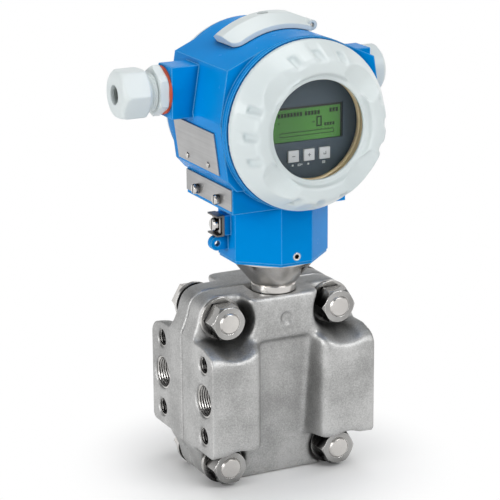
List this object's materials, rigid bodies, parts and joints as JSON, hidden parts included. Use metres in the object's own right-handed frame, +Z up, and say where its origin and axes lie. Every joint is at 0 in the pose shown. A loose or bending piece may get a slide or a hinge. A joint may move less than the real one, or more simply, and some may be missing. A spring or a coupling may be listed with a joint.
{
  "type": "differential pressure transmitter",
  "caption": "Differential pressure transmitter: bolted steel process flanges, a neck, and a blue two-chamber housing with a display window, screw covers, key flap and cable gland.",
  "frame": {"origin": "middle of the flange bottoms, on the plane where the two flanges meet", "axes": "+Z up, -Y towards the side of the display, -X towards the cable gland"},
  "size_m": [0.1585, 0.1114, 0.2625],
  "materials": {
    "blue_paint": "satin powder coat",
    "grey_paint": "satin powder coat",
    "grey_plastic": "satin",
    "cast_steel": "blasted casting",
    "turned_steel": "turned",
    "fastener_steel": "plain",
    "plate_steel": "brushed sheet",
    "chromate": "yellow chromate",
    "window": "clear",
    "black_rubber": "matt",
    "orange_rubber": "matt",
    "red_rubber": "matt",
    "slate": "fine texture",
    "lcd": "glossy",
    "keys": "satin",
    "board": "satin"
  },
  "bodies": {
    "process": {"front_process_flange": "cast_steel", "rear_process_flange": "cast_steel", "sensor_cell": "turned_steel", "front_diaphragm": "turned_steel", "rear_diaphragm": "turned_steel", "front_flange_seal": "black_rubber", "rear_flange_seal": "black_rubber", "flange_bolts": "fastener_steel", "flange_washers": "fastener_steel", "flange_nuts": "fastener_steel", "port_plugs": "turned_steel", "neck_seal": "black_rubber"},
    "housing": {"housing": "blue_paint", "neck_set_screw": "fastener_steel", "nameplate": "plate_steel", "nameplate_rivets": "fastener_steel", "tag_plate": "plate_steel", "tag_plate_screws": "fastener_steel", "ground_clamp": "fastener_steel", "ground_washer": "fastener_steel", "ground_screw": "fastener_steel", "display_bezel": "slate", "display_lcd": "lcd", "display_board": "board", "electronics_insert": "slate", "terminal_block": "slate", "terminal_screws": "fastener_steel", "gland_body": "grey_plastic", "gland_seal": "orange_rubber", "blind_plug": "grey_plastic", "blind_plug_seal": "red_rubber"},
    "front_seal": {"front_cover_seal": "black_rubber"},
    "front_cover": {"front_cover": "grey_paint", "window_glass": "window", "window_retainer": "chromate"},
    "rear_seal": {"rear_cover_seal": "black_rubber"},
    "rear_cover": {"rear_cover": "grey_paint"},
    "key_flap": {"key_flap": "grey_plastic", "flap_screw": "fastener_steel", "flap_hinge_pin": "fastener_steel"},
    "outside_key_1": {"outside_key_1": "keys"},
    "outside_key_2": {"outside_key_2": "keys"},
    "outside_key_3": {"outside_key_3": "keys"},
    "display_key_1": {"display_key_1": "keys"},
    "display_key_2": {"display_key_2": "keys"},
    "display_key_3": {"display_key_3": "keys"},
    "gland_insert": {"gland_insert": "black_rubber"},
    "gland_dome_nut": {"gland_dome_nut": "grey_plastic"}
  },
  "joints": [
    {"name": "housing_swivel", "type": "hinge", "parent": "process", "child": "housing", "pos_m": [0, -0.014, 0.14], "axis": [0, 0, 1], "range_deg": [-190, 190]},
    {"name": "front_cover_travel", "type": "slide", "parent": "housing", "child": "front_seal", "axis": [0, -1, 0], "range_m": [0, 0.0081]},
    {"name": "front_cover_turn", "type": "hinge", "parent": "front_seal", "child": "front_cover", "pos_m": [0, -0.052, 0.208], "axis": [0, -1, 0], "range_deg": [0, 1440]},
    {"name": "rear_cover_travel", "type": "slide", "parent": "housing", "child": "rear_seal", "axis": [0, 1, 0], "range_m": [0, 0.0081]},
    {"name": "rear_cover_turn", "type": "hinge", "parent": "rear_seal", "child": "rear_cover", "pos_m": [0, 0.022, 0.208], "axis": [0, 1, 0], "range_deg": [0, 1440]},
    {"name": "flap_hinge", "type": "hinge", "parent": "housing", "child": "key_flap", "pos_m": [0.01731, -0.014, 0.25555], "axis": [0, 1, 0], "range_deg": [0, 100]},
    {"name": "outside_key_1_press", "type": "slide", "parent": "housing", "child": "outside_key_1", "axis": [0, 0, -1], "range_m": [0, 0.0012], "stiffness_N_per_m": 600, "springref_m": -0.0006},
    {"name": "outside_key_2_press", "type": "slide", "parent": "housing", "child": "outside_key_2", "axis": [0, 0, -1], "range_m": [0, 0.0012], "stiffness_N_per_m": 600, "springref_m": -0.0006},
    {"name": "outside_key_3_press", "type": "slide", "parent": "housing", "child": "outside_key_3", "axis": [0, 0, -1], "range_m": [0, 0.0012], "stiffness_N_per_m": 600, "springref_m": -0.0006},
    {"name": "display_key_1_press", "type": "slide", "parent": "housing", "child": "display_key_1", "axis": [0, 1, 0], "range_m": [0, 0.0008], "stiffness_N_per_m": 500, "springref_m": -0.0005},
    {"name": "display_key_2_press", "type": "slide", "parent": "housing", "child": "display_key_2", "axis": [0, 1, 0], "range_m": [0, 0.0008], "stiffness_N_per_m": 500, "springref_m": -0.0005},
    {"name": "display_key_3_press", "type": "slide", "parent": "housing", "child": "display_key_3", "axis": [0, 1, 0], "range_m": [0, 0.0008], "stiffness_N_per_m": 500, "springref_m": -0.0005},
    {"name": "gland_insert_travel", "type": "slide", "parent": "housing", "child": "gland_insert", "axis": [-1, 0, 0], "range_m": [0, 0.003]},
    {"name": "gland_nut_turn", "type": "hinge", "parent": "gland_insert", "child": "gland_dome_nut", "pos_m": [-0.08, -0.0025, 0.2235], "axis": [-1, 0, 0], "range_deg": [0, 730]}
  ],
  "couplings": [
    {"joint": "front_cover_travel", "follows": "front_cover_turn", "m_per_rad": 0.00031831},
    {"joint": "rear_cover_travel", "follows": "rear_cover_turn", "m_per_rad": 0.00031831},
    {"joint": "gland_nut_turn", "follows": "gland_insert_travel", "rad_per_m": 4188.8}
  ]
}
